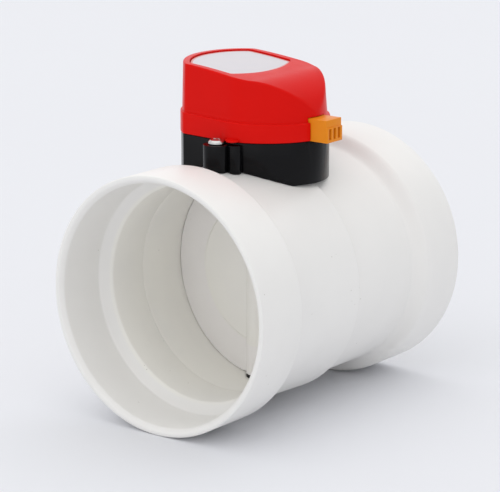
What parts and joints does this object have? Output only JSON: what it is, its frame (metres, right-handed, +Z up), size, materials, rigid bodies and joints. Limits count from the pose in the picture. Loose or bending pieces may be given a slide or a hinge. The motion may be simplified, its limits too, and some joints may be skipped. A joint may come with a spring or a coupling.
{
  "type": "motorized duct damper",
  "caption": "Round white duct damper with socket ends, a pivoting disc blade, and a red and black electric quarter-turn actuator with a side wire terminal.",
  "frame": {"origin": "centre of the inlet socket's mouth, on the duct's axis", "axes": "+Y along the duct from inlet to outlet, +Z up through the blade's shaft to the actuator, +X towards the wire terminal's side"},
  "size_m": [0.118, 0.1535, 0.1586],
  "materials": {
    "white_pvc": "semi-gloss",
    "red_plastic": "satin",
    "black_plastic": "satin",
    "orange_plastic": "matt",
    "label_white": "satin",
    "steel": "zinc plated",
    "brass": "plain",
    "rubber": "matt",
    "pale_silicone": "matt",
    "gear_plastic": "satin",
    "board_green": "satin",
    "lead_red": "satin"
  },
  "bodies": {
    "duct_and_housing": {"inlet_body": "white_pvc", "outlet_body": "white_pvc", "upper_bush": "black_plastic", "lower_bush": "black_plastic", "spindle_seal": "rubber", "actuator_base": "black_plastic", "actuator_cover": "red_plastic", "label_plate": "label_white", "ear_screw_front": "steel", "ear_screw_rear": "steel", "idler_axle": "steel", "gear_plate": "steel", "drive_motor": "steel", "motor_lead_cap": "white_pvc", "motor_lead_front": "lead_red", "motor_lead_rear": "lead_red", "motor_screw_front": "steel", "motor_screw_rear": "steel", "limit_switch_shut": "black_plastic", "limit_switch_open": "black_plastic", "circuit_board": "board_green", "board_spacer_front": "brass", "board_spacer_rear": "brass", "board_screw_front": "steel", "board_screw_rear": "steel", "capacitor": "black_plastic", "relay": "black_plastic", "terminal_block": "orange_plastic", "terminal_clamp_1": "brass", "terminal_clamp_2": "brass", "terminal_clamp_3": "brass"},
    "blade_and_shaft": {"blade": "white_pvc", "blade_seal_right": "pale_silicone", "blade_seal_left": "pale_silicone", "blade_shaft": "steel", "shaft_o_ring": "rubber", "blade_screw_upper": "steel", "blade_screw_lower": "steel", "output_gear": "gear_plastic", "limit_cam": "gear_plastic", "shaft_clip": "steel"},
    "idler": {"idler_gear": "gear_plastic"},
    "pinion": {"motor_pinion": "brass", "motor_shaft": "steel"}
  },
  "joints": [
    {"name": "blade_turn", "type": "hinge", "parent": "duct_and_housing", "child": "blade_and_shaft", "pos_m": [0, 0.07675, 0], "axis": [0, 0, -1], "range_deg": [0, 85]},
    {"name": "idler_turn", "type": "hinge", "parent": "duct_and_housing", "child": "idler", "pos_m": [-0.024, 0.07675, 0.066], "axis": [0, 0, -1], "range_deg": [-323.5, 0]},
    {"name": "pinion_turn", "type": "hinge", "parent": "duct_and_housing", "child": "pinion", "pos_m": [-0.01245, 0.07675, 0.068], "axis": [0, 0, -1], "range_deg": [0, 743.5]}
  ],
  "couplings": [
    {"joint": "idler_turn", "follows": "blade_turn", "ratio": -3.8},
    {"joint": "pinion_turn", "follows": "blade_turn", "ratio": 8.74}
  ]
}
